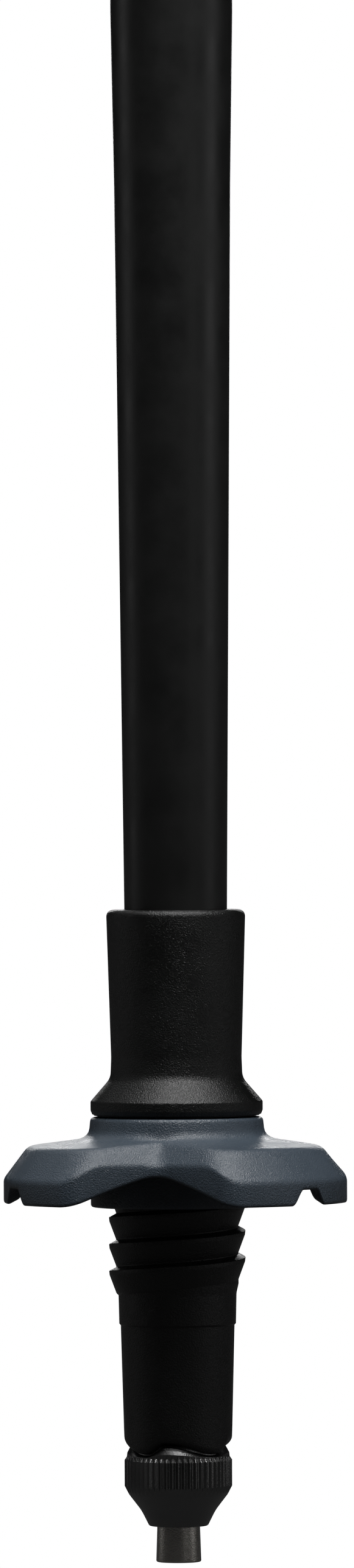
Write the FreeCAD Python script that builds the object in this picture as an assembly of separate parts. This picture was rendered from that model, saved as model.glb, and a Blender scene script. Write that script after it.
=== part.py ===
"""Lower end of a trekking pole: a tapered shaft in a moulded ferrule, a screw-on basket and a screw-in tip.

Millimetres. +Z runs up the shaft, and the origin is the centre of the tip's foot, where it meets the ground.
Angles are degrees from +X, counter-clockwise seen from above. Both screw threads are right-handed.
"""
import FreeCAD, Part
import math
import os
from FreeCAD import Vector

# ---- driving dimensions ------------------------------------------------------------------------------------
# shaft
shaft_bottom_z = 28.5          # square-cut lower end, inside the ferrule
shaft_top_z = 198.0            # square-cut upper end, where the next section's clamp grips
shaft_r_bottom = 5.52          # outside radius at the lower end
shaft_r_shoulder = 6.74        # outside radius where the gentle taper ends
shaft_shoulder_z = 160.0
shaft_r_top = 7.08             # outside radius of the straight top
shaft_straight = 18.0          # length of the straight top
shaft_wall = 1.0
# plug that closes the shaft's lower end
plug_head_t = 1.5
plug_stem_length = 11.0
plug_stem_taper = 0.4          # how much smaller the stem's far end is, in radius
plug_edge = 0.5
# ferrule: collar and flange
collar_top_z = 75.75
collar_top_wall = 2.12         # collar outside the shaft, at its rim
collar_waist_wall = 1.80       # the same at its waist
collar_waist_z = 57.0
collar_edge = 0.85             # rounding of the collar's rim
collar_waist_round = 3.0
flange_bottom_z = 52.37
flange_overhang = 2.07         # flange beyond the thread's crest
flange_band = 1.25             # height of the flange's upright band
flange_flare = 2.6             # height of the slope above the band
flange_flare_in = 2.34         # how far the slope leans in
flange_edge = 0.35
flange_round = 1.0             # rounding between the slope and the waist
# ferrule: thread for the basket
neck_wall = 1.58               # wall of the neck, outside the shaft's lower end
thread_depth = 0.82
thread_pitch = 3.11
thread_ledge = 0.35            # rise from crest to root on the upper side
thread_land = 0.31             # height of bare neck between two turns
thread_bite = 0.06             # how far the thread's foot runs into the neck
thread_start_angle = 180.0     # direction in which the thread begins
thread_foot = 0.25             # start of the long side above the body's top, there
thread_stop = 2.17             # distance from the flange at which the crest stops
# ferrule: body and lip
body_wall = 1.32               # wall of the body's top, outside the shaft's lower end
body_top_z = 31.0
body_shoulder = 1.2            # height of the cone from body to neck
body_step_z = 27.7
body_step = 0.15
body_step_height = 0.2
body_lean = 0.07               # how much the body narrows from its top to the step
body_round = 2.0
body_r_bottom = 6.28
body_bottom_z = 14.7
lip_r = 6.22
lip_wall = 0.85
lip_edge = 0.12
lip_clearance = 0.07           # lip over the holder's neck
lip_notch_z = 13.75            # the lip's edge between the lobes
lip_lobe_z = 12.72             # the lip's edge at the lobes
lip_lobes = 4
lip_steep = (-37.0, -23.0)     # degrees over which the edge climbs out of a lobe
lip_ramp = (-17.0, 43.0)       # degrees over which it comes down again
front_angle = -90.0            # the lip's degrees are counted from here
# tip thread, and the insert moulded into the ferrule
stud_r = 2.95
stud_top_z = 24.0
stud_edge = 0.5
stud_clearance = 0.06
insert_wall = 1.09
insert_length = 10.8
insert_groove = 0.4
# tip seal
seal_t = 0.6
seal_gap = 0.075               # above and below the seal
seal_inset = 0.4               # seal inside the neck's rim
# tip holder: neck, knurled ring and cone
neck_rise = 0.1                # neck above the lip's highest edge
neck_taper = 0.12
neck_edge = 0.25
ring_drop = 0.2                # ring below the lip's lowest edge
ring_r = 6.24
ring_bottom_z = 8.9
ring_chamfer = 0.35
ring_chamfer_in = 0.25
knurl_count = 56
knurl_depth = 0.24
cone_r_top = 5.78
cone_top_z = 7.95
cone_r_mid = 4.30
cone_mid_z = 6.0
cone_r_bottom = 3.40
cone_bottom_z = 4.2
cone_edge = 0.2
# hard tip
pin_r = 2.49
pin_flare = 0.13               # how much wider the pin's foot is, in radius
pin_top_z = 11.0
pin_edge = 0.18
pin_cup_r = 1.9
pin_cup_depth = 0.7
# washer between flange and basket
washer_t = 0.5
washer_width = 1.48
washer_clearance = 0.2         # washer bore over the thread's crest
# basket: hub
bore_clearance = 0.10          # basket bore over the thread's crest
hub_wall = 1.98
hub_height = 10.37
hub_spread = 0.25              # the hub widens by this much down to its fillet
hub_fillet = 1.2
hub_flare = 1.4                # how far the fillet's outline runs out over the plate
hub_edge = 0.35
ridge_clearance = 0.12         # basket ridge in the thread's valley
ridge_bite = 0.2               # how far the ridge's foot runs into the hub's wall
ridge_margin = 0.35            # hub left above the ridge
# basket: plate and rim
lobe_count = 3
lobe_turn = -40.0              # direction of the first lobe
lobe_r = 20.1
lobe_corner = 3.0
lobe_corner_least = 0.4        # rounding left where the outline is moved inwards
valley_r = 13.5
valley_round = 4.0
valley_rise = 1.65             # how much further out the slope's foot starts in a valley
facet_angle = 87.0             # direction that a valley's side faces, from its lobe's centre line
plate_drop = 2.67              # plate's top face below the hub's top
plate_fall = 0.115             # fall of the top face per millimetre outwards
slope_angle = 53.0
slope_height = 4.6             # slope's foot below the plate
rim_height = 7.3               # rim's foot below the plate
rim_fall = 0.5                 # rise of the rim's foot per millimetre inwards
skin = 1.6                     # thickness of the plate and of the rim
notch_width = 5.5              # at the rim's foot
notch_top_width = 3.6
notch_depth = 1.9
notch_round = 0.6

# cutting bodies
overshoot = 1.0                # how far they reach past the faces they cut
slope_overshoot = 0.5          # the same for the top of the basket's slope

# ---- sizes that follow from them ---------------------------------------------------------------------------
shaft_straight_z = shaft_top_z - shaft_straight
thread_root_r = shaft_r_bottom + neck_wall
thread_crest_r = thread_root_r + thread_depth
thread_flank = thread_pitch - thread_ledge - thread_land
thread_first_z = body_top_z + thread_flank + thread_foot
thread_last_z = flange_bottom_z - thread_stop
flange_r = thread_crest_r + flange_overhang
body_r_top = shaft_r_bottom + body_wall
neck_r_top = lip_r - lip_wall - lip_clearance
neck_r_bottom = neck_r_top + neck_taper
neck_top_z = lip_notch_z + neck_rise
ring_top_z = lip_lobe_z - ring_drop
seat_z = neck_top_z + seal_t + 2 * seal_gap
insert_r = stud_r + stud_clearance + insert_wall
washer_r = thread_crest_r + washer_clearance + washer_width
bore_r = thread_crest_r + bore_clearance
hub_r_top = bore_r + hub_wall
hub_r_waist = hub_r_top + hub_spread
hub_top_z = flange_bottom_z - washer_t
hub_bottom_z = hub_top_z - hub_height
plate_z = hub_top_z - plate_drop
slope_foot_z = plate_z - slope_height
rim_bottom_z = plate_z - rim_height


# ---- helpers -----------------------------------------------------------------------------------------------
def wire_of(corners):
    """Closed wire in the XZ plane through (r, z) or (r, z, fillet radius) corners."""
    points = [Vector(c[0], 0, c[1]) for c in corners]
    count = len(points)
    edges = []
    starts, ends, middles = [], [], []
    for i, corner in enumerate(corners):
        here, before, after = points[i], points[i - 1], points[(i + 1) % count]
        radius = corner[2] if len(corner) > 2 else 0.0
        back, ahead = (before - here).normalize(), (after - here).normalize()
        half = back.getAngle(ahead) / 2
        if radius <= 0:
            starts.append(here)
            ends.append(here)
            middles.append(None)
            continue
        run = radius / math.tan(half)
        starts.append(here + back * run)
        ends.append(here + ahead * run)
        bisector = (back + ahead).normalize()
        middles.append(here + bisector * (radius / math.sin(half) - radius))
    for i in range(count):
        if middles[i] is not None:
            edges.append(Part.Arc(starts[i], middles[i], ends[i]).toShape())
        a, b = ends[i], starts[(i + 1) % count]
        if a.distanceToPoint(b) > 1e-6:
            edges.append(Part.LineSegment(a, b).toShape())
    return Part.Wire(edges)


def turned(corners):
    """Solid of revolution about Z of a closed (r, z) outline."""
    return Part.Face(wire_of(corners)).revolve(Vector(0, 0, 0), Vector(0, 0, 1), 360)


def disc(radius, z_low, z_high):
    """Plain cylinder about Z."""
    return Part.makeCylinder(radius, z_high - z_low, Vector(0, 0, z_low))


def cone(r_low, r_high, z_low, z_high):
    """Plain cone about Z, or a cylinder where both radii are the same."""
    if abs(r_low - r_high) < 1e-6:
        return disc(r_low, z_low, z_high)
    return Part.makeCone(r_low, r_high, z_high - z_low, Vector(0, 0, z_low))


def spun(shape, degrees):
    """Copy of a shape turned about Z."""
    copy = shape.copy()
    copy.rotate(Vector(0, 0, 0), Vector(0, 0, 1), degrees)
    return copy


def around(shape, count):
    """Copies of a shape evenly spaced about Z."""
    return [spun(shape, 360.0 * i / count) for i in range(count)]


def helical_ridge(section, pitch, turns, z, start_degrees):
    """Solid of (r, dz) corners carried up a right-hand helix that starts at height z and start_degrees."""
    path = Part.makeHelix(pitch, pitch * turns, section[0][0])
    loop = [Vector(r, 0, lift) for r, lift in section]
    pipe = Part.BRepOffsetAPI.MakePipeShell(Part.Wire(path.Edges))
    pipe.setFrenetMode(True)
    pipe.add(Part.makePolygon(loop + loop[:1]))
    pipe.build()
    pipe.makeSolid()
    ridge = spun(pipe.shape(), start_degrees)
    ridge.translate(Vector(0, 0, z))
    return ridge


# ---- shaft -------------------------------------------------------------------------------------------------
def shaft_r(z):
    """Outside radius of the shaft at a height: a gentle taper, a steeper one, then straight."""
    gentle = (shaft_r_shoulder - shaft_r_bottom) / (shaft_shoulder_z - shaft_bottom_z)
    if z <= shaft_shoulder_z:
        return shaft_r_bottom + gentle * (z - shaft_bottom_z)
    share = min(1.0, (z - shaft_shoulder_z) / (shaft_straight_z - shaft_shoulder_z))
    return shaft_r_shoulder + share * (shaft_r_top - shaft_r_shoulder)


def make_lower_shaft():
    """Tapered tube with an even wall, open at both ends."""
    heights = [shaft_bottom_z, shaft_shoulder_z, shaft_straight_z, shaft_top_z]
    outside = [(shaft_r(z), z) for z in heights]
    inside = [(shaft_r(z) - shaft_wall, z) for z in reversed(heights)]
    return turned(outside + inside)


def make_shaft_plug():
    """Plug with a head under the shaft's end and a tapered stem inside it."""
    stem_r = shaft_r(shaft_bottom_z) - shaft_wall
    head_r = shaft_r(shaft_bottom_z)
    stem_top = shaft_bottom_z + plug_stem_length
    return turned([
        (0, shaft_bottom_z - plug_head_t),
        (head_r, shaft_bottom_z - plug_head_t),
        (head_r, shaft_bottom_z),
        (stem_r, shaft_bottom_z),
        (stem_r - plug_stem_taper, stem_top, plug_edge),
        (0, stem_top),
    ])


# ---- ferrule -----------------------------------------------------------------------------------------------
def ferrule_outside():
    """Collar, flange, threaded neck, tapered body and lip, as one turned solid."""
    band_top_z = flange_bottom_z + flange_band
    step_r = body_r_top - body_lean
    return turned([
        (0, collar_top_z),
        (shaft_r(collar_top_z) + collar_top_wall, collar_top_z, collar_edge),
        (shaft_r(collar_waist_z) + collar_waist_wall, collar_waist_z, collar_waist_round),
        (flange_r - flange_flare_in, band_top_z + flange_flare, flange_round),
        (flange_r, band_top_z, flange_edge),
        (flange_r, flange_bottom_z, flange_edge),
        (thread_root_r, flange_bottom_z),
        (thread_root_r, body_top_z + body_shoulder),
        (body_r_top, body_top_z, body_round),
        (step_r, body_step_z),
        (step_r - body_step, body_step_z - body_step_height),
        (body_r_bottom, body_bottom_z, body_round),
        (lip_r, lip_lobe_z, lip_edge),
        (0, lip_lobe_z),
    ])


def basket_thread():
    """The coarse saw-tooth thread that the basket runs on."""
    share = 1 + thread_bite / thread_depth
    inner = thread_root_r - thread_bite
    section = [(inner, thread_ledge * share), (thread_crest_r, 0.0), (inner, -thread_flank * share)]
    turns = (thread_last_z - thread_first_z) / thread_pitch
    return helical_ridge(section, thread_pitch, turns, thread_first_z, thread_start_angle)


def lip_gap():
    """Space between two lobes of the lip: it climbs steeply at one side and comes down slowly at the other."""
    reach = lip_r + overshoot
    below = lip_lobe_z - overshoot
    steps = [
        (lip_steep[0], below), (lip_steep[0], lip_lobe_z), (lip_steep[1], lip_notch_z),
        (lip_ramp[0], lip_notch_z), (lip_ramp[1], lip_lobe_z), (lip_ramp[1], below),
    ]
    middle = (lip_steep[0] + lip_ramp[1]) / 2
    loop = [Vector(0, lip_r * math.sin(math.radians(a - middle)), z) for a, z in steps]
    slab = Part.Face(Part.makePolygon(loop + loop[:1])).extrude(Vector(reach, 0, 0))
    return spun(slab, middle + front_angle)


def ferrule_hollow():
    """Everything cut out of the ferrule: the shaft's seat, the plug's head, and the lip's conical mouth."""
    head_z = shaft_bottom_z - plug_head_t
    over = collar_top_z + overshoot
    seat = turned([
        (0, head_z),
        (shaft_r_bottom, head_z),
        (shaft_r_bottom, shaft_bottom_z),
        (shaft_r(over), over),
        (0, over),
    ])
    mouth_r = neck_r_top + lip_clearance
    under = lip_lobe_z - overshoot
    slant = neck_taper / (neck_top_z - ring_top_z)
    mouth = turned([
        (0, under),
        (mouth_r + slant * (neck_top_z - under), under),
        (mouth_r, neck_top_z),
        (mouth_r, seat_z),
        (0, seat_z),
    ])
    return [seat, mouth]


def insert_outside():
    """Outer form of the insert: a plain barrel with two holding grooves."""
    top = seat_z + insert_length
    third = insert_length / 3
    groove = insert_groove
    corners = [(0, seat_z), (insert_r, seat_z)]
    for i in (1, 2):
        middle = seat_z + third * i
        corners += [
            (insert_r, middle - 2 * groove), (insert_r - groove, middle - groove),
            (insert_r - groove, middle + groove), (insert_r, middle + 2 * groove),
        ]
    corners += [(insert_r, top), (0, top)]
    return turned(corners)


def make_threaded_insert():
    """Metal insert with the tip's thread, drawn as a plain bore at the thread's outer radius."""
    bore = disc(stud_r + stud_clearance, seat_z - overshoot, seat_z + insert_length + overshoot)
    return insert_outside().cut(bore)


def make_ferrule():
    """The whole moulding."""
    solid = ferrule_outside().fuse(basket_thread())
    hollows = ferrule_hollow() + [insert_outside()]
    solid = solid.cut(hollows + around(lip_gap(), lip_lobes))
    return solid.removeSplitter()


# ---- tip ---------------------------------------------------------------------------------------------------
def knurled_band():
    """Ring with straight V grooves and a chamfer at each end."""
    step = 2 * math.pi / knurl_count
    loop = []
    for i in range(knurl_count):
        for radius, angle in ((ring_r, i * step), (ring_r - knurl_depth, (i + 0.5) * step)):
            loop.append(Vector(radius * math.cos(angle), radius * math.sin(angle), ring_bottom_z - overshoot))
    height = ring_top_z - ring_bottom_z + 2 * overshoot
    prism = Part.Face(Part.makePolygon(loop + loop[:1])).extrude(Vector(0, 0, height))
    hull = turned([
        (0, cone_top_z),
        (cone_r_top, cone_top_z),
        (ring_r, ring_bottom_z),
        (ring_r, ring_top_z - ring_chamfer),
        (ring_r - ring_chamfer_in, ring_top_z),
        (0, ring_top_z),
    ])
    band = hull.common(prism)
    foot = cone(cone_r_top, ring_r - knurl_depth, cone_top_z, ring_bottom_z)
    return band.fuse(foot)


def make_tip_holder():
    """Stud, neck, knurled ring and cone, bored for the hard tip."""
    core = turned([
        (0, cone_bottom_z),
        (cone_r_bottom, cone_bottom_z, cone_edge),
        (cone_r_mid, cone_mid_z),
        (cone_r_top, cone_top_z),
        (cone_r_top, ring_top_z),
        (neck_r_bottom, ring_top_z),
        (neck_r_top, neck_top_z, neck_edge),
        (stud_r, neck_top_z),
        (stud_r, stud_top_z, stud_edge),
        (0, stud_top_z),
    ])
    socket = disc(pin_r, cone_bottom_z - overshoot, pin_top_z)
    return core.fuse(knurled_band()).cut(socket).removeSplitter()


def make_hard_tip():
    """Sintered pin, a little wider at its hollow foot."""
    return turned([
        (0, pin_cup_depth),
        (pin_cup_r, 0),
        (pin_r + pin_flare, 0, pin_edge),
        (pin_r, cone_bottom_z),
        (pin_r, pin_top_z),
        (0, pin_top_z),
    ])


def make_tip_seal():
    """Flat rubber ring between the holder's neck and the seat in the ferrule."""
    low, high = neck_top_z + seal_gap, seat_z - seal_gap
    inner, outer = stud_r + stud_clearance, neck_r_top - seal_inset
    return turned([(inner, low), (outer, low), (outer, high), (inner, high)])


# ---- basket ------------------------------------------------------------------------------------------------
def lobe_outline(inset, extra_valley, z):
    """Closed outline of the basket at a height, moved inwards by inset, with valleys that much shallower.

    Each lobe is an arc about the axis, a rounded corner, a straight valley side and a rounded valley floor.
    """
    half_pitch = math.pi / lobe_count
    facet = math.radians(facet_angle)
    floor_centre = valley_r + extra_valley + valley_round
    floor_round = valley_round + inset
    side = floor_centre * math.cos(facet - half_pitch) - floor_round
    outer = lobe_r - inset
    corner_round = max(lobe_corner - inset, lobe_corner_least)
    corner_centre = outer - corner_round
    corner = facet - math.acos((side - corner_round) / corner_centre)

    def polar(radius, angle):
        return Vector(radius * math.cos(angle), radius * math.sin(angle), z)

    def arc_about(centre, radius, first, last):
        angles = [first, (first + last) / 2, last]
        offsets = [Vector(radius * math.cos(a), radius * math.sin(a), 0) for a in angles]
        return [centre + offset for offset in offsets]

    edges = []
    for i in range(lobe_count):
        middle = math.radians(lobe_turn) + 2 * half_pitch * i
        for hand in (1, -1):
            rim = [polar(outer, middle + hand * corner * share) for share in (0, 0.5, 1)]
            knee = polar(corner_centre, middle + hand * corner)
            knee_arc = arc_about(knee, corner_round, middle + hand * corner, middle + hand * facet)
            floor = polar(floor_centre, middle + hand * half_pitch)
            floor_arc = arc_about(floor, -floor_round, middle + hand * facet, middle + hand * half_pitch)
            curves = [Part.Arc(*rim), Part.Arc(*knee_arc), Part.LineSegment(knee_arc[2], floor_arc[0]),
                      Part.Arc(*floor_arc)]
            edges += [curve.toShape() for curve in curves]
    return Part.Wire(Part.__sortEdges__(edges))


def sloped_block(inset):
    """Block whose sides lean in from the foot of the slope, moved inwards by inset."""
    lean = 1 / math.tan(math.radians(slope_angle))
    low_z, high_z = hub_bottom_z, plate_z + slope_overshoot
    foot = lobe_outline(inset - (slope_foot_z - low_z) * lean, valley_rise, low_z)
    head = lobe_outline(inset + (high_z - slope_foot_z) * lean, valley_rise, high_z)
    return Part.makeLoft([foot, head], True, True)


def upright_block(inset):
    """Straight-sided block of the outline, moved inwards by inset."""
    outline = lobe_outline(inset, 0.0, hub_bottom_z)
    return Part.Face(outline).extrude(Vector(0, 0, hub_top_z - hub_bottom_z))


def plate_top(r):
    """Height of the plate's top face at a radius."""
    return plate_z - plate_fall * (r - hub_r_top)


def plate_band():
    """Turned body between the plate's top face and the cone that the rim's foot lies on."""
    reach = lobe_r + overshoot
    under_z = plate_z - skin
    meet_r = lobe_r - (under_z - rim_bottom_z) / rim_fall
    return turned([
        (0, plate_z),
        (hub_r_top, plate_z),
        (reach, plate_top(reach)),
        (reach, rim_bottom_z - rim_fall * (reach - lobe_r)),
        (meet_r, under_z),
        (0, under_z),
    ])


def under_space():
    """Turned space below the plate's underside, from the hub out to the rim."""
    return turned([
        (0, hub_bottom_z),
        (lobe_r, hub_bottom_z),
        (lobe_r, plate_top(lobe_r) - skin),
        (hub_r_top, plate_z - skin),
        (0, plate_z - skin),
    ])


def rim_notches():
    """Notch with leaning sides in the foot of the rim, at the middle of each lobe."""
    half, top_half = notch_width / 2, notch_top_width / 2
    top = rim_bottom_z + notch_depth
    lean = (half - top_half) / notch_depth
    low = hub_bottom_z - overshoot
    low_half = half + lean * (rim_bottom_z - low)
    corners = [(-low_half, low), (low_half, low), (top_half, top, notch_round), (-top_half, top, notch_round)]
    outline = wire_of(corners)
    notch = Part.Face(outline).extrude(Vector(0, 2 * skin + overshoot, 0))
    notch.translate(Vector(0, lobe_r - 2 * skin, 0))
    return around(spun(notch, lobe_turn - 90), lobe_count)


def hub_outside():
    """Hub with a fillet onto the plate."""
    return turned([
        (0, hub_top_z),
        (hub_r_top, hub_top_z, hub_edge),
        (hub_r_waist, plate_z, hub_fillet),
        (hub_r_waist + hub_flare, plate_top(hub_r_waist + hub_flare)),
        (hub_r_waist + hub_flare / 2, plate_z - skin / 2),
        (hub_r_top, plate_z - skin / 2),
        (hub_r_top, hub_bottom_z, hub_edge),
        (0, hub_bottom_z),
    ])


def basket_ridge():
    """Inner thread of the basket: it fills the valley of the ferrule's thread less a clearance."""
    inner_r = thread_root_r + ridge_clearance
    climb, steep = thread_ledge / thread_depth, thread_flank / thread_depth
    low_gap = ridge_clearance * math.hypot(1, climb)
    high_gap = ridge_clearance * math.hypot(1, steep)

    def low(r):
        return thread_ledge - climb * (r - thread_root_r) + low_gap

    def high(r):
        return thread_pitch - thread_flank + steep * (r - thread_root_r) - high_gap

    section = [
        (bore_r + ridge_bite, low(bore_r)), (inner_r, low(inner_r)),
        (inner_r, high(inner_r)), (bore_r + ridge_bite, high(bore_r)),
    ]
    first = math.ceil((hub_bottom_z - thread_first_z) / thread_pitch)
    start_z = thread_first_z + first * thread_pitch
    turns = (hub_top_z - ridge_margin - high(bore_r) - start_z) / thread_pitch
    return helical_ridge(section, thread_pitch, turns, start_z, thread_start_angle)


def make_basket():
    """Three-lobed basket: hub, sloped plate, skirted rim with notches, and the inner thread."""
    outer = sloped_block(0.0).common(upright_block(0.0)).common(plate_band())
    hollow = sloped_block(skin).common(upright_block(skin)).common(under_space())
    shell = outer.cut([hollow] + rim_notches())
    solid = shell.fuse(hub_outside()).cut(disc(bore_r, hub_bottom_z - overshoot, hub_top_z + overshoot))
    return solid.fuse(basket_ridge())


def make_basket_washer():
    """Thin rubber washer squeezed between the flange and the hub."""
    inner = thread_crest_r + washer_clearance
    return turned([
        (inner, hub_top_z), (washer_r, hub_top_z), (washer_r, flange_bottom_z), (inner, flange_bottom_z),
    ])


# ---- build -------------------------------------------------------------------------------------------------
PARTS = {
    "lower_shaft": make_lower_shaft,
    "shaft_plug": make_shaft_plug,
    "ferrule": make_ferrule,
    "threaded_insert": make_threaded_insert,
    "tip_holder": make_tip_holder,
    "hard_tip": make_hard_tip,
    "tip_seal": make_tip_seal,
    "basket": make_basket,
    "basket_washer": make_basket_washer,
}

os.makedirs("parts", exist_ok=True)
for name, make in PARTS.items():
    shape = make()
    print(name, "valid", shape.isValid(), "solids", len(shape.Solids), "volume", round(shape.Volume, 1))
    shape.exportStep(os.path.join("parts", name + ".step"))
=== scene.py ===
# %% [markdown]
# # The lower end of a trekking pole
#
# Six pieces show on the real object: a tapered black shaft, the black moulding that it is glued into, a
# slate-grey basket that screws onto the moulding, a thin washer, a knurled tip holder, and the hard metal point.
# All but the washer are built here as surfaces worked out with numpy, around the imported design, which sets every
# place and size.
#
# Lengths on the pieces are in millimetres, as on a maker's drawing, and are turned into metres once, when a mesh is
# made. The floor, the lights and the camera are placed in metres.

# %% Load the imported design
import math
import bpy
import numpy as np
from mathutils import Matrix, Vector


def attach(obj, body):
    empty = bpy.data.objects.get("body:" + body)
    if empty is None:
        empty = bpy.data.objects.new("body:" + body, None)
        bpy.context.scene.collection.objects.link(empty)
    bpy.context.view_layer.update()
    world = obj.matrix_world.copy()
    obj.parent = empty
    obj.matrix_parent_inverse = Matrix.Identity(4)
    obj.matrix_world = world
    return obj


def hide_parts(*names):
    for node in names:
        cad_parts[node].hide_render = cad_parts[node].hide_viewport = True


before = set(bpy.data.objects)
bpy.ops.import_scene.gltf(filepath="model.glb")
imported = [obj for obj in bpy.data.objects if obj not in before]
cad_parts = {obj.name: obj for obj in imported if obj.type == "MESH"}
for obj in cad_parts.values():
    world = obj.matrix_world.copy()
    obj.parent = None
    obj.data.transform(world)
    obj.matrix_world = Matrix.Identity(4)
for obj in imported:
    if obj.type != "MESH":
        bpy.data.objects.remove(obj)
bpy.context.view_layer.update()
MM = 0.001


# %% [markdown]
# ## Tools for surfaces
#
# Nearly everything on this object is turned, or moulded round an axis, so each piece starts as an outline in radius
# and height. Real edges are never quite sharp, and a small rounding is what catches the light. A Bevel modifier could
# round them afterwards. Rounding the outline itself gives each corner its own radius.

# %% Outline with rounded corners
def outline(corners, closed, steps=7):
    """Points (r, z) along straight runs between the corners.

    A corner is (r, z) or (r, z, radius). At one with a radius, both runs stop radius / tan(half the angle between
    them) short of it, and an arc of that radius joins them.
    """
    points = []
    count = len(corners)
    for i, corner in enumerate(corners):
        here = np.array(corner[:2], float)
        radius = corner[2] if len(corner) > 2 else 0
        if not radius or (not closed and i in (0, count - 1)):
            points.append(here[None])
            continue
        back = np.array(corners[i - 1][:2], float) - here
        ahead = np.array(corners[(i + 1) % count][:2], float) - here
        back, ahead = back / np.linalg.norm(back), ahead / np.linalg.norm(ahead)
        half = math.acos(np.clip(back @ ahead, -1, 1)) / 2
        middle = (back + ahead) / np.linalg.norm(back + ahead)
        centre = here + middle * radius / math.sin(half)
        first = here + back * radius / math.tan(half) - centre
        last = here + ahead * radius / math.tan(half) - centre
        t = np.linspace(0, 1, steps)[:, None]
        swing = math.pi - 2 * half
        arc = (np.sin((1 - t) * swing) * first + np.sin(t * swing) * last) / math.sin(swing)
        points.append(centre + arc)
    return np.vstack(points)


print("a rounded square corner has", len(outline([(0, 0), (1, 0, 0.2), (1, 1)], closed=False)), "points")


# %% [markdown]
# An outline and a set of directions make a grid: one way runs along the outline, the other round the axis. A modeller
# could also spin an edge with Blender's Screw modifier. Working the grid out as an array is chosen because a second
# effect, such as a knurl, a wave or a lobe, is then only one more term in the formula.

# %% Grid to mesh
def new_piece(name, vertices, faces, material=None, sharp=38):
    """Mesh object at the origin, from vertices in millimetres, smooth except across edges sharper than an angle."""
    mesh = bpy.data.meshes.new(name)
    mesh.from_pydata((vertices * MM).tolist(), [], faces)
    mesh.shade_smooth()
    mesh.set_sharp_from_angle(angle=math.radians(sharp))
    piece = bpy.data.objects.new(name, mesh)
    bpy.context.scene.collection.objects.link(piece)
    if material:
        mesh.materials.append(material)
    print(f"{name}: {len(vertices)} points, {len(faces)} faces")
    return piece


def loop_faces(rows, columns):
    """Quads of a grid that closes on itself both ways. Along an outline whose outer side climbs, they face out."""
    index = np.arange(rows * columns).reshape(rows, columns)
    index = np.vstack([index, index[:1]])
    index = np.hstack([index, index[:, :1]])
    return np.stack([index[:-1, :-1], index[:-1, 1:], index[1:, 1:], index[1:, :-1]], -1).reshape(-1, 4)


def ring_surface(points):
    """Vertices and faces of a (rows, columns, 3) grid that is closed along its outline and round the axis."""
    rows, columns = points.shape[:2]
    return points.reshape(-1, 3), loop_faces(rows, columns).tolist()


def ball_surface(points):
    """Vertices and faces of a grid whose first and last rows lie on the axis: each becomes one pole point."""
    rows, columns = points.shape[:2]
    quads = loop_faces(rows - 2, columns)[: (rows - 3) * columns]
    middle = points[1:-1].reshape(-1, 3)
    first, last = len(middle), len(middle) + 1
    here = np.arange(columns)
    after = (here + 1) % columns
    top = (rows - 3) * columns
    low_fan = np.stack([np.full(columns, first), after, here], -1)
    high_fan = np.stack([np.full(columns, last), top + here, top + after], -1)
    vertices = np.vstack([middle, points[0, :1], points[-1, :1]])
    return vertices, quads.tolist() + low_fan.tolist() + high_fan.tolist()


def around(radius, height, angle):
    """Points (r cos a, r sin a, z), with radius and height as arrays of rows and columns."""
    radius, height, angle = np.broadcast_arrays(radius, height, angle)
    return np.stack([radius * np.cos(angle), radius * np.sin(angle), height], -1)


def directions(columns):
    """Even angles round the axis, in radians, counter-clockwise from +X."""
    return np.linspace(0, 2 * math.pi, columns, endpoint=False)


print("a 4 by 6 closed grid has", len(loop_faces(4, 6)), "faces")


# %% [markdown]
# A screw thread is the same idea with a twist: a small outline is carried along a helix. Its two ends fade into
# the wall, as a moulded or rolled thread runs out. The Screw modifier could make it too, but not the run-outs.

# %% Thread from an outline
LEAST_SHARE = 0.03


def smooth(t):
    """Smooth step of t: 3 t^2 - 2 t^3, held at 0 and 1 outside that range."""
    t = np.clip(t, 0, 1)
    return t * t * (3 - 2 * t)


def thread_surface(section, pitch, turns, z, start, fade, foot, per_turn=120):
    """Vertices and faces of a thread.

    Each (r, dz) of the section goes to angle start + t and height z + dz + pitch t / 2 pi. Within fade turns of an
    end, r and dz shrink towards foot and zero by a smooth step, but never quite reach them.
    """
    t = np.linspace(0, 2 * math.pi * turns, int(per_turn * turns))[:, None]
    near_end = np.minimum(t, t[-1] - t) / (2 * math.pi * fade)
    share = smooth(np.maximum(near_end, LEAST_SHARE))
    r, lift = section[:, 0], section[:, 1]
    points = around(foot + (r - foot) * share, z + lift * share + pitch * t / (2 * math.pi), start + t)
    rows, columns = points.shape[:2]
    quads = loop_faces(rows, columns)[: (rows - 1) * columns][:, ::-1]
    caps = [list(range(columns)), list(range(rows * columns - 1, (rows - 1) * columns - 1, -1))]
    return points.reshape(-1, 3), quads.tolist() + caps


def joined(*surfaces):
    """One list of vertices and one of faces from several surfaces."""
    vertices, faces = [], []
    for points, quads in surfaces:
        shift = sum(len(v) for v in vertices)
        vertices.append(points)
        faces += [[i + shift for i in face] for face in quads]
    return np.vstack(vertices), faces


# %% [markdown]
# ## Shader groups
#
# Moulded nylon has a spark-eroded grain: shallow, irregular dimples about a fifth of a millimetre across, which
# catch the light as small glints. An image texture would need unwrapping. Noise on the object's own coordinates
# needs none, keeps its real size on every piece, and is the same all round.

# %% Moulded grain, as a group
def new_group(name, inputs, outputs):
    """Empty node group with float inputs, given as name: value, and named float outputs."""
    group = bpy.data.node_groups.new(name, "ShaderNodeTree")
    for label, value in inputs.items():
        socket = group.interface.new_socket(label, in_out="INPUT", socket_type="NodeSocketFloat")
        socket.default_value = value
    for label in outputs:
        group.interface.new_socket(label, in_out="OUTPUT", socket_type="NodeSocketFloat")
    return group, group.nodes.new("NodeGroupInput"), group.nodes.new("NodeGroupOutput")


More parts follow.
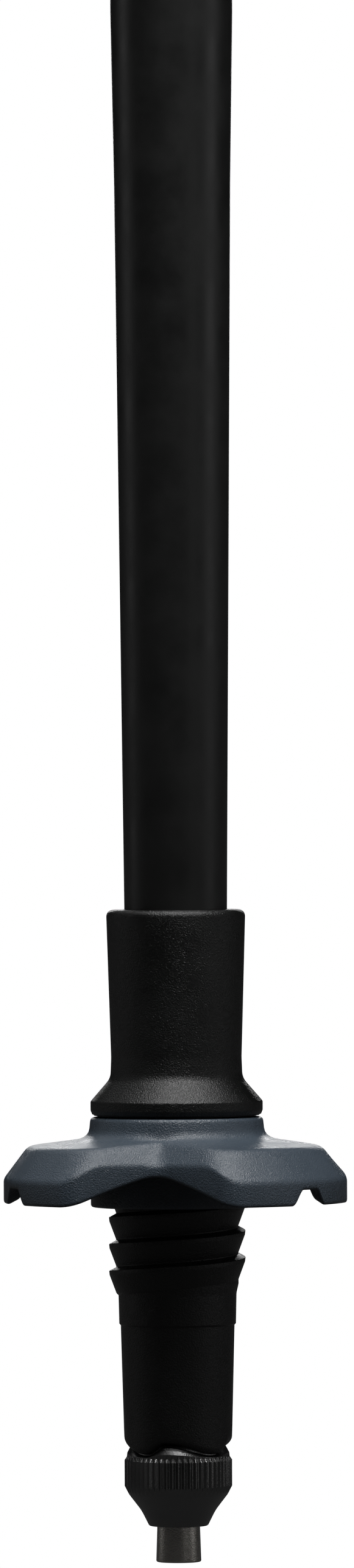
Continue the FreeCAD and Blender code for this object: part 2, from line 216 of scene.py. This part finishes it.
def moulded_grain():
    """Group: fine dimples of a given size, and a slow cloud of the same noise for uneven gloss."""
    group, given, result = new_group("moulded_grain", {"Size mm": 0.2, "Cloud mm": 6.0}, ("Height", "Cloud"))
    nodes, links = group.nodes, group.links
    place = nodes.new("ShaderNodeTexCoord")
    for label, out in (("Size mm", "Height"), ("Cloud mm", "Cloud")):
        scale = nodes.new("ShaderNodeMath")
        scale.operation = "DIVIDE"
        scale.inputs[0].default_value = 1 / MM
        links.new(given.outputs[label], scale.inputs[1])
        noise = nodes.new("ShaderNodeTexNoise")
        noise.inputs["Detail"].default_value = 3
        noise.inputs["Roughness"].default_value = 0.6
        links.new(place.outputs["Object"], noise.inputs["Vector"])
        links.new(scale.outputs[0], noise.inputs["Scale"])
        links.new(noise.outputs["Fac"], result.inputs[out])
    return group


GRAIN = moulded_grain()
print("group", GRAIN.name, "gives", [s.name for s in GRAIN.interface.items_tree if s.in_out == "OUTPUT"])


# %% [markdown]
# Every finish on this object is the same idea with other values: two close colours, a gloss that drifts a little, and
# the grain as bump. Each could be wired by hand in the shader editor. One function keeps them alike, and a finish is
# then one line of values.

# %% One way to build each finish
CLOUD_LOW, CLOUD_HIGH = 0.3, 0.7


def finish_with_grain(name, colour, tint, rough, size, depth, cloud=6.0, spread=0.08, **shader):
    """Material whose colour and roughness drift with the cloud, and whose surface has the grain.

    colour and tint are linear colours mixed by the cloud, and rough is the middle roughness, with spread its swing.
    The grain's size and depth and the cloud's size are in millimetres. Other sockets are set on the shader itself.
    """
    material = bpy.data.materials.new(name)
    material.use_nodes = True
    nodes, links = material.node_tree.nodes, material.node_tree.links
    surface = nodes["Principled BSDF"]
    grain = nodes.new("ShaderNodeGroup")
    grain.node_tree = GRAIN
    grain.inputs["Size mm"].default_value = size
    grain.inputs["Cloud mm"].default_value = cloud
    mix = nodes.new("ShaderNodeMix")
    mix.data_type = "RGBA"
    mix.inputs["A"].default_value = (*colour, 1)
    mix.inputs["B"].default_value = (*tint, 1)
    links.new(grain.outputs["Cloud"], mix.inputs["Factor"])
    links.new(mix.outputs["Result"], surface.inputs["Base Color"])
    gloss = nodes.new("ShaderNodeMapRange")
    gloss.inputs["From Min"].default_value = CLOUD_LOW
    gloss.inputs["From Max"].default_value = CLOUD_HIGH
    gloss.inputs["To Min"].default_value = rough - spread
    gloss.inputs["To Max"].default_value = rough + spread
    links.new(grain.outputs["Cloud"], gloss.inputs["Value"])
    links.new(gloss.outputs["Result"], surface.inputs["Roughness"])
    bump = nodes.new("ShaderNodeBump")
    bump.inputs["Distance"].default_value = depth * MM
    links.new(grain.outputs["Height"], bump.inputs["Height"])
    links.new(bump.outputs["Normal"], surface.inputs["Normal"])
    for label, value in shader.items():
        surface.inputs[label.replace("_", " ")].default_value = value
    return material


# %% [markdown]
# ## Finishes
#
# The shaft is smooth satin black. The ferrule and the basket are the same grained nylon, one black and one slate.
# The tip holder is steel with a thin black coat. The point is sintered metal, so it is dark grey, and its surface is
# finely pitted. The hidden washers are rubber, and the insert is brass.

# %% Make the finishes
black_satin = finish_with_grain(
    "black_satin_shaft", (0.0055, 0.0057, 0.0056), (0.0068, 0.007, 0.0068), rough=0.44, size=0.12, depth=0.005)
black_nylon = finish_with_grain(
    "black_grained_nylon", (0.0022, 0.0025, 0.0023), (0.0035, 0.0037, 0.0034), rough=0.31, size=0.18, depth=0.1,
    Specular_IOR_Level=0.45)
slate_nylon = finish_with_grain(
    "slate_grained_nylon", (0.046, 0.061, 0.078), (0.057, 0.074, 0.094), rough=0.28, size=0.18, depth=0.1)
black_coat = finish_with_grain(
    "black_coated_steel", (0.004, 0.0042, 0.0041), (0.006, 0.0062, 0.006), rough=0.28, size=0.2, depth=0.03,
    Specular_IOR_Level=0.9, IOR=1.8)
sintered = finish_with_grain(
    "sintered_metal", (0.34, 0.325, 0.3), (0.5, 0.48, 0.445), rough=0.24, size=0.15, depth=0.035,
    cloud=1.2, spread=0.05, Metallic=1.0)
soft_rubber = finish_with_grain(
    "black_rubber", (0.004, 0.004, 0.004), (0.007, 0.007, 0.007), rough=0.7, size=0.2, depth=0.02)
turned_brass = finish_with_grain(
    "turned_brass", (0.56, 0.4, 0.16), (0.66, 0.49, 0.22), rough=0.3, size=0.5, depth=0.004, cloud=2.0, Metallic=1.0)
print("finishes:", [m.name for m in bpy.data.materials if m.use_nodes])


# %% [markdown]
# ## Shaft
#
# A drawn tube that tapers towards the ferrule. Its wall shows only at the open top, where the next section slides
# over it, so the outer edge at each end gets a small rounding, as a tube cutter leaves. A cylinder with its top
# scaled would do for a plain taper. This one has two tapers and a straight top, so it is an outline.

# %% Shaft
SHAFT_WALL = 1.0
taper = [(5.52, 28.5), (6.74, 160.0), (7.08, 180.0), (7.08, 198.0)]
bore = [(r - SHAFT_WALL, z) for r, z in reversed(taper)]
EDGE_ROUND = 0.25
tube_corners = [(*taper[0], EDGE_ROUND), *taper[1:-1], (*taper[-1], EDGE_ROUND), *bore]
tube_line = outline(tube_corners, closed=True, steps=4)
angle = directions(160)
tube = new_piece("shaft_tube", *ring_surface(around(tube_line[:, :1], tube_line[:, 1:], angle)), black_satin)
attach(tube, "pole")
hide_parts("lower_shaft")


# %% [markdown]
# ## Ferrule
#
# One black moulding: a collar round the shaft, a flared flange, a coarse saw-tooth thread for the basket, a tapered
# body, and a lip with four waves that lock the tip. The turned form is an outline. The wave lifts the lip's rows by
# an amount that depends on the angle: it climbs steeply out of each lobe and comes back down slowly, like a ratchet.

# %% The lip's wave
WAVE_HEIGHT = 1.25
STEEP = (-39.0, -16.0)
RAMP = (-12.0, 46.0)
FRONT = -90.0


def wave(angle):
    """Height of the lip's edge above its lobes: up over the steep side, level, and down over the ramp, four times."""
    degrees = (np.degrees(angle) - FRONT - STEEP[0]) % 90 + STEEP[0]
    up = smooth((degrees - STEEP[0]) / (STEEP[1] - STEEP[0]))
    down = smooth((degrees - RAMP[0]) / (RAMP[1] - RAMP[0]))
    return WAVE_HEIGHT * (up - down)


print("wave at the front:", round(float(wave(math.radians(FRONT))), 2), "mm")

# %% [markdown]
# The outline of the moulding runs up the outside, over the collar, and down the bore, which steps in for the shaft's
# end, the insert and the tip's stud. Only the rows near the lip take the wave, fading out up the body. The wall of
# the mouth stays straight.

# %% Ferrule body
LIP_Z = 12.72
ferrule_corners = [
    (5.38, LIP_Z, 0.12), (6.24, LIP_Z, 0.78), (6.29, 15.6, 2.0), (6.6, 27.5, 0.06), (6.77, 27.7, 0.06),
    (6.85, 31.2, 2.0), (7.10, 32.3), (7.10, 52.37), (9.63, 52.37), (9.65, 51.95, 0.05),
    (9.80, 52.0, 0.12), (9.99, 52.45, 0.6), (9.99, 53.5, 0.35), (7.66, 56.2, 1.9),
    (7.57, 58.6, 8.0), (8.08, 75.75, 0.8), (6.1, 75.75, 0.35), (6.0, 74.0), (5.6, 31.0), (4.6, 26.9),
    (3.05, 26.0), (3.05, 14.62), (5.38, 14.62),
]
ferrule_line = outline(ferrule_corners, closed=True)
WAVE_FULL_Z, WAVE_END_Z, MOUTH_R = 13.4, 15.4, 5.6
near_lip = smooth((WAVE_END_Z - ferrule_line[:, 1]) / (WAVE_END_Z - WAVE_FULL_Z))
near_lip[(ferrule_line[:, 0] < MOUTH_R) & (ferrule_line[:, 1] > WAVE_FULL_Z)] = 0
angle = directions(360)
ferrule_z = ferrule_line[:, 1:] + near_lip[:, None] * wave(angle)[None]
ferrule_body = ring_surface(around(ferrule_line[:, :1], ferrule_z, angle))

# %% [markdown]
# The thread is a buttress: a nearly flat ledge on top, which carries the basket's push, a short upright crest, and
# a long flank below. Its section is carried up the helix as a closed outline with its foot inside the neck.

# %% Basket thread
PITCH = 3.11
THREAD_START = math.radians(100)
THREAD_LOW, THREAD_TOP = 33.14, 50.2
thread_turns = (THREAD_TOP - THREAD_LOW) / PITCH
buttress = outline([
    (6.8, -2.9), (7.08, -2.62, 0.3), (7.87, -0.5, 0.3), (7.92, -0.02, 0.1), (7.1, 0.42), (6.8, 0.5),
], closed=True, steps=4)
coarse_thread = thread_surface(buttress, PITCH, thread_turns, THREAD_LOW, THREAD_START, fade=0.18, foot=6.9)
ferrule = new_piece("ferrule_moulding", *joined(ferrule_body, coarse_thread), black_nylon)
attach(ferrule, "pole")
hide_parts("ferrule")


# %% [markdown]
# ## Basket
#
# A three-lobed disc that keeps the pole from sinking into snow. Seen from above, each lobe is an arc about the axis
# with rounded corners, and the sides of neighbouring lobes meet in a rounded valley. A poly modeller would cut this
# from a cylinder. Here the whole outline is one radius per direction, so moving it inwards for the slope, or for the
# inside of the rim, is one number.

# %% The lobed outline
LOBE_TURN = math.radians(-40)
LOBE_R, CORNER = 20.1, 3.0
VALLEY_R, VALLEY_ROUND, VALLEY_RISE = 13.5, 4.0, 1.65
HALF_PITCH, FACET = math.radians(60), math.radians(87)
LEAST_CORNER, LEAST_VALLEY = 0.4, 0.8


def lobed_radius(angle, inset=0.0, rise=0.0, least=LEAST_CORNER, valley_gain=1.0):
    """Distance from the axis to the outline, moved inwards by inset, with valleys that start further out by rise.

    Folded to half a lobe, it is the lobe's arc, then the corner's circle, then the straight side
    s / cos(facet - angle), then the near side of the valley's circle. The corner's radius shrinks with the inset
    down to least; the valley's grows by valley_gain times the inset, so a negative gain makes the valley sharper.
    """
    fold = np.abs((angle - LOBE_TURN + HALF_PITCH) % (2 * HALF_PITCH) - HALF_PITCH)
    spread = math.cos(FACET - HALF_PITCH)
    side = (VALLEY_R + rise + VALLEY_ROUND) * spread - VALLEY_ROUND - inset
    valley = np.maximum(VALLEY_ROUND + valley_gain * inset, LEAST_VALLEY)
    far = (side + valley) / spread
    outer = LOBE_R - inset
    corner = np.maximum(CORNER - inset, least)
    centre = outer - corner
    turn = FACET - np.arccos((side - corner) / centre)
    corner_end = np.arctan2(
        centre * np.sin(turn) + corner * np.sin(FACET), centre * np.cos(turn) + corner * np.cos(FACET))
    side_end = np.arctan2(
        far * np.sin(HALF_PITCH) - valley * np.sin(FACET), far * np.cos(HALF_PITCH) - valley * np.cos(FACET))
    swing = np.clip(fold - turn, 0, None)
    on_corner = centre * np.cos(swing) + np.sqrt(np.clip(corner**2 - (centre * np.sin(swing)) ** 2, 0, None))
    away = HALF_PITCH - fold
    in_valley = far * np.cos(away) - np.sqrt(np.clip(valley**2 - (far * np.sin(away)) ** 2, 0, None))
    on_side = side / np.cos(FACET - fold)
    zones = [fold < turn, fold < corner_end, fold < side_end]
    return np.select(zones, [outer + 0 * fold, on_corner, on_side], in_valley)


print("outline radius at a lobe and in a valley:", float(lobed_radius(LOBE_TURN)),
      round(float(lobed_radius(LOBE_TURN + HALF_PITCH)), 2))

# %% [markdown]
# The section changes all the way round, so each corner of the section is an array over the angle: where the plate
# meets the slope, where the slope meets the upright rim, and the rim's foot. Both meeting heights come from setting
# two radii equal, found by halving an interval. Every corner is then softened by a short curve, as a mould's are.

# %% Corners of the basket's section, for every direction
PLATE_Z, PLATE_FALL = 49.2, 0.115
SLOPE_Z, LEAN, SLOPE_CORNER, SLOPE_VALLEY_GAIN = 44.6, 1 / math.tan(math.radians(53)), 4.5, -0.8
RIM_Z, RIM_FALL, SKIN = 41.6, 0.5, 1.6
HUB_R, HUB_TOP, HUB_LOW, BORE_R = 10.0, 51.7, 41.25, 8.02
NOTCH_HALF, NOTCH_TOP_HALF, NOTCH_DEPTH = 2.9, 1.1, 1.85
FOOT_SPAN, RIDGE_SPAN = (42.0, 48.5), (44.0, 50.0)


def meeting(gap, low, high):
    """Height where gap(height), an array over the angle, changes sign, by twenty halvings."""
    low, high = low + np.zeros_like(angle), high + np.zeros_like(angle)
    for _ in range(20):
        middle = (low + high) / 2
        positive = gap(middle) > 0
        low, high = np.where(positive, middle, low), np.where(positive, high, middle)
    return (low + high) / 2


def section_corners(inset, plate_drop):
    """(radius, height) of ridge, slope's foot and rim's foot, on a skin moved inwards and a plate moved down."""
    upright = lobed_radius(angle, inset)

    def slope(z):
        return lobed_radius(angle, inset + (z - SLOPE_Z) * LEAN, VALLEY_RISE, SLOPE_CORNER, SLOPE_VALLEY_GAIN)

    foot_z = meeting(lambda z: slope(z) - upright, *FOOT_SPAN)
    ridge_z = meeting(lambda z: PLATE_Z - plate_drop - PLATE_FALL * (slope(z) - HUB_R) - z, *RIDGE_SPAN)
    across = upright * np.sin((angle - LOBE_TURN + HALF_PITCH) % (2 * HALF_PITCH) - HALF_PITCH)
    notch = NOTCH_DEPTH * smooth((NOTCH_HALF - np.abs(across)) / (NOTCH_HALF - NOTCH_TOP_HALF))
    rim_z = RIM_Z + RIM_FALL * (LOBE_R - upright) + notch
    return (slope(ridge_z), ridge_z), (upright, foot_z), (upright, rim_z)


def lobe_directions(columns):
    """Angles that are even along the outline, not round the axis, so that corners and notches get their share."""
    fine = directions(7200)
    radius = lobed_radius(fine)
    points = np.stack([radius * np.cos(fine), radius * np.sin(fine)], -1)
    step = np.linalg.norm(np.roll(points, -1, 0) - points, axis=1)
    travelled = np.concatenate([[0], np.cumsum(step)])
    return np.interp(np.linspace(0, travelled[-1], columns, endpoint=False), travelled, np.append(fine, 2 * math.pi))


angle = lobe_directions(720)
ridge, foot, rim = section_corners(0.0, 0.0)
ridge_in, foot_in, rim_in = section_corners(SKIN, SKIN)
print("ridge height from", round(ridge[1].min(), 2), "to", round(ridge[1].max(), 2), "mm")


# %% [markdown]
# The basket's skin is now a loop of corners in every direction: bore, hub, plate, slope, rim, and back along the
# inside. A cut and bevelled cylinder would need its edges picked one by one. Here each corner has one length over
# which it is softened. The ridge that runs in the coarse thread is one more small helix inside the bore.

# %% Basket surface
LONGEST_CUT = 0.45


def softened(corners, steps=6):
    """Rows through a closed list of ((r, z) arrays, length) corners.

    Each corner is cut by the curve (1-t)^2 a + 2t(1-t) corner + t^2 b, where a and b lie that length before and
    after it, or LONGEST_CUT of the run where that is shorter.
    """
    r = np.stack([c[0][0] + 0 * angle for c in corners])
    z = np.stack([c[0][1] + 0 * angle for c in corners])
    places = np.stack([r, z], -1)
    rows = []
    for i, (_, length) in enumerate(corners):
        here = places[i]
        ends = []
        for other in (places[i - 1], places[(i + 1) % len(corners)]):
            run = np.linalg.norm(other - here, axis=1, keepdims=True)
            ends.append(here + (other - here) * np.minimum(length / run, LONGEST_CUT))
        t = np.linspace(0, 1, steps)[:, None, None]
        rows.append((1 - t) ** 2 * ends[0] + 2 * t * (1 - t) * here + t**2 * ends[1])
    rows = np.concatenate(rows)
    return around(rows[..., 0], rows[..., 1], angle)


UNDERSIDE_Z = PLATE_Z - SKIN
hub_fillet = (HUB_R + 0.25, PLATE_Z + 0.05)
basket_corners = [
    ((BORE_R, HUB_LOW), 0.15), ((HUB_R, HUB_LOW), 0.35), ((HUB_R, UNDERSIDE_Z), 0.7), (ridge_in, 0.6), (rim_in, 0.35),
    (rim, 0.6), (foot, 0.45), (ridge, 0.75), (hub_fillet, 1.7), ((HUB_R, HUB_TOP), 0.55), ((BORE_R, HUB_TOP), 0.15),
]
basket_skin = ring_surface(softened(basket_corners))
inner_ridge = outline([
    (8.3, 0.1), (8.3, 3.0), (7.95, 2.85), (7.22, 0.66, 0.05), (7.22, 0.42, 0.05), (7.95, 0.14),
], closed=True, steps=3)
INNER_TURNS = 1.75
inner_low = THREAD_LOW + 3 * PITCH
inner_thread = thread_surface(inner_ridge, PITCH, INNER_TURNS, inner_low, THREAD_START, fade=0.12, foot=8.25)
basket = new_piece("basket_lobed", *joined(basket_skin, inner_thread), slate_nylon)
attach(basket, "basket")
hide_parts("basket")


# %% [markdown]
# ## Tip holder
#
# A turned steel piece: a threaded stud above, a waved shoulder that fits the ferrule's lip, a knurled ring to grip
# it by, and a cone. The knurl is straight, so it could be an array of thin cuts. It is one more term in the radius
# instead: a groove that repeats round the axis and fades out at each end. The columns fall exactly on its crests
# and roots, so it stays crisp.

# %% Tip holder
RING_R, JOINT_GAP = 6.24, 0.13
SHOULDER_Z = LIP_Z - JOINT_GAP
holder_line = outline([
    (0, 11.0), (2.5, 11.0), (2.5, 4.2), (3.40, 4.2, 0.32), (4.30, 6.0, 6.0), (5.68, 7.8, 0.05), (5.80, 8.0, 0.05),
    (5.88, 8.15), (RING_R, 8.85, 0.15), (RING_R, 11.86, 0.08), (5.97, 12.26, 0.06),
    (5.92, SHOULDER_Z - 0.22, 0.1), (5.55, SHOULDER_Z, 0.1), (5.34, SHOULDER_Z + 0.02),
    (5.28, 13.8, 0.2), (2.6, 13.82), (2.42, 14.1), (2.42, 23.7, 0.4), (0, 23.98),
], closed=False, steps=6)
radius, height = holder_line[:, :1], holder_line[:, 1:]
print("tip holder outline:", len(holder_line), "points")

# %% [markdown]
# The knurl's groove is a smooth dip between narrow flat crests, as a knurling wheel leaves. It is cut only between
# the two heights of the ring, and never deeper than the ring's chamfers. The shoulder above it takes a share of the
# lip's wave that grows inwards, so its outer edge stays level for the knurl.

# %% Knurl and shoulder
KNURLS, KNURL_DEPTH, PER_KNURL = 56, 0.26, 10
KNURL_LOW, KNURL_HIGH, KNURL_FADE, KNURL_ROOT = 8.2, 12.4, 0.1, 5.9
CREST_EDGE, GROOVE_SIDE = 0.95, 0.8
SHOULDER_INSIDE, SHOULDER_LOW, SHOULDER_HIGH = 5.3, 12.3, 13.5
SHARE_OF_WAVE = {5.96: 0.0, 5.92: 0.3, 5.5: 0.78}
angle = directions(KNURLS * PER_KNURL)
crest = np.abs((angle * KNURLS / (2 * math.pi)) % 1 * 2 - 1)
groove = KNURL_DEPTH * smooth((CREST_EDGE - crest) / GROOVE_SIDE)
in_ring = smooth((height - KNURL_LOW) / KNURL_FADE) * smooth((KNURL_HIGH - height) / KNURL_FADE)
holder_r = np.minimum(radius, RING_R) - in_ring * np.minimum(groove, np.maximum(radius - KNURL_ROOT, 0))
on_shoulder = (radius > SHOULDER_INSIDE) & (height > SHOULDER_LOW) & (height < SHOULDER_HIGH)
share = np.interp(-radius, [-r for r in SHARE_OF_WAVE], list(SHARE_OF_WAVE.values()))
holder_z = height + np.where(on_shoulder, share, 0) * wave(angle)
holder_body = ball_surface(around(holder_r, holder_z, angle))

# %% [markdown]
# The stud's thread is fine: one millimetre to a turn. It hides inside the ferrule and shows only when the tip is
# screwed out. It is made by the same thread function as the coarse one, with a small even section.

# %% Stud thread
FINE_PITCH, FINE_TURNS, FINE_LOW = 1.0, 8.4, 14.9
fine_section = outline([
    (2.3, -0.42), (2.45, -0.4), (2.92, -0.07, 0.03), (2.92, 0.07, 0.03), (2.45, 0.4), (2.3, 0.42),
], closed=True, steps=3)
fine_thread = thread_surface(
    fine_section, FINE_PITCH, FINE_TURNS, FINE_LOW, start=0.0, fade=0.3, foot=2.35, per_turn=72)
holder = new_piece("tip_holder_knurled", *joined(holder_body, fine_thread), black_coat, sharp=30)
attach(holder, "tip")
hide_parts("tip_holder")

# %% [markdown]
# ## Hard tip
#
# A sintered pin, pressed into the holder. Its foot is hollow, so that a sharp ring bites into ice or rock. It is the
# simplest piece: one outline turned about the axis, from the hollow's centre to the pin's top.

# %% Hard tip
pin_line = outline([
    (0, 0.62), (0.9, 0.5), (1.85, 0.06, 0.1), (2.62, 0.0, 0.2), (2.49, 3.9), (2.49, 10.9, 0.3), (0, 10.95),
], closed=False)
pin = new_piece("hard_tip_pin", *ball_surface(around(pin_line[:, :1], pin_line[:, 1:], directions(128))), sintered)
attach(pin, "tip")
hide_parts("hard_tip")

# %% [markdown]
# ## Pieces kept from the design
#
# The washer, the seal, the insert and the shaft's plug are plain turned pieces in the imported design, and their
# shapes are right as they are. They only need their finishes.

# %% Finish the kept pieces
kept = {
    "basket_washer": soft_rubber, "tip_seal": soft_rubber, "threaded_insert": turned_brass, "shaft_plug": black_nylon,
}
for node, material in kept.items():
    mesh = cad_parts[node].data
    mesh.materials.clear()
    mesh.materials.append(material)
    print(node, "is finished in", material.name)


# %% [markdown]
# ## Floor, light and camera
#
# A pale floor and an even white surround, as in a product studio. Black plastic shows what it reflects, so both are
# white to the camera only and dim to the object. The piece hangs from its shaft, so the floor lies low enough for
# the tip to be screwed right out.

# %% Floor
FLOOR_GLOW = 0.06
FLOOR_Z = -0.012
HALF_FLOOR = 2.5
floor_mesh = bpy.data.meshes.new("floor")
floor_corners = [(HALF_FLOOR * x, HALF_FLOOR * y, 0) for x, y in ((-1, -1), (1, -1), (1, 1), (-1, 1))]
floor_mesh.from_pydata(floor_corners, [], [(0, 1, 2, 3)])
floor = bpy.data.objects.new("floor", floor_mesh)
floor.location.z = FLOOR_Z
bpy.context.scene.collection.objects.link(floor)
pale = bpy.data.materials.new("pale_floor")
pale.use_nodes = True
pale_surface = pale.node_tree.nodes["Principled BSDF"]
pale_surface.inputs["Roughness"].default_value = 0.9
pale_surface.inputs["Base Color"].default_value = (0, 0, 0, 1)
pale_surface.inputs["Specular IOR Level"].default_value = 0
pale_surface.inputs["Emission Color"].default_value = (1, 1, 1, 1)
eye = pale.node_tree.nodes.new("ShaderNodeLightPath")
glow = pale.node_tree.nodes.new("ShaderNodeMapRange")
glow.inputs["To Min"].default_value = FLOOR_GLOW
glow.inputs["To Max"].default_value = 1.0
pale.node_tree.links.new(eye.outputs["Is Camera Ray"], glow.inputs["Value"])
pale.node_tree.links.new(glow.outputs["Result"], pale_surface.inputs["Emission Strength"])
floor_mesh.materials.append(pale)
floor.visible_diffuse = False
print("floor", 2 * HALF_FLOOR, "m wide, at", FLOOR_Z, "m")

# %% [markdown]
# The surround is the world. Its background is white where the camera looks, and almost dark where the object's own
# reflections look, by the same switch as on the floor. A plain white world would be simpler, but black plastic would
# then mirror it.

# %% Surround
world = bpy.data.worlds.new("studio")
bpy.context.scene.world = world
world.use_nodes = True
sky, sky_links = world.node_tree.nodes, world.node_tree.links
sky.clear()
seen, lit = sky.new("ShaderNodeBackground"), sky.new("ShaderNodeBackground")
seen.inputs["Color"].default_value = (1, 1, 1, 1)
lit.inputs["Color"].default_value = (0.96, 0.98, 1, 1)
lit.inputs["Strength"].default_value = 0.01
ray, choose, out = sky.new("ShaderNodeLightPath"), sky.new("ShaderNodeMixShader"), sky.new("ShaderNodeOutputWorld")
sky_links.new(ray.outputs["Is Camera Ray"], choose.inputs["Fac"])
sky_links.new(lit.outputs[0], choose.inputs[1])
sky_links.new(seen.outputs[0], choose.inputs[2])
sky_links.new(choose.outputs[0], out.inputs["Surface"])
bpy.context.scene.view_settings.view_transform = "Standard"
print("surround strength:", round(lit.inputs["Strength"].default_value, 3))

# %% [markdown]
# The shapes are drawn by a small strong light overhead, which makes the slopes shine, and a dim one over the right.
# A strip at each side picks out the edges of the round parts, and a low panel behind skims the faces that are nearly
# level. A dim light from behind keeps the far side readable. One big softbox would be simpler, but black plastic
# under it turns grey all over.

# %% Lights
middle = Vector((0, 0, 0.09))


def soft_light(name, azimuth, elevation, distance, size, radiance):
    """Rectangle light aimed at the object. Azimuth 0 is in front, positive to the right.

    A flat light's power is radiance times pi times its area, so its brightness doesn't change with its size.
    """
    a, e = math.radians(azimuth), math.radians(elevation)
    light = bpy.data.lights.new(name, "AREA")
    light.shape = "RECTANGLE"
    light.size, light.size_y = size
    light.energy = radiance * math.pi * size[0] * size[1]
    lamp = bpy.data.objects.new(name, light)
    lamp.location = middle + distance * Vector((math.sin(a) * math.cos(e), -math.cos(a) * math.cos(e), math.sin(e)))
    lamp.rotation_euler = (middle - lamp.location).to_track_quat("-Z", "Y").to_euler()
    lamp.visible_camera = False
    bpy.context.scene.collection.objects.link(lamp)
    print(f"{name}: {light.energy:.1f} W")


soft_light("overhead", 12, 70, 0.9, (0.35, 0.3), 32)
soft_light("over_right", 62, 66, 0.9, (0.3, 0.3), 2.0)
soft_light("front_fill", 0, 48, 1.3, (0.9, 0.5), 0.5)
soft_light("strip_left", -104, 4, 0.8, (0.2, 0.9), 0.7)
soft_light("strip_right", 82, 4, 0.8, (0.25, 0.9), 1.0)
soft_light("strip_front_right", 40, 10, 1.0, (0.15, 0.9), 0.75)
soft_light("back_panel", 180, 9.5, 1.0, (0.4, 0.14), 4.5)
soft_light("rear_fill", 205, 42, 1.1, (0.6, 0.4), 0.9)

# %% [markdown]
# The camera stands level with the middle of the piece, a little over a metre away. A long lens from there shows it
# nearly without perspective, as a catalogue does. The small roll sets the shaft upright in the frame.

# %% Camera
DISTANCE = 1.2
EYE_X, EYE_Z = 0.00023, 0.0903
ROLL = 0.28
cam = bpy.data.cameras.new("camera")
cam.sensor_width = 36
cam.lens = 237.3
cam.clip_end = 20
camera = bpy.data.objects.new("camera", cam)
camera.location = (EYE_X, -DISTANCE, EYE_Z)
camera.rotation_euler = (math.radians(90), math.radians(ROLL), 0)
bpy.context.scene.collection.objects.link(camera)
bpy.context.scene.camera = camera
print("camera", DISTANCE, "m away, lens", cam.lens, "mm")
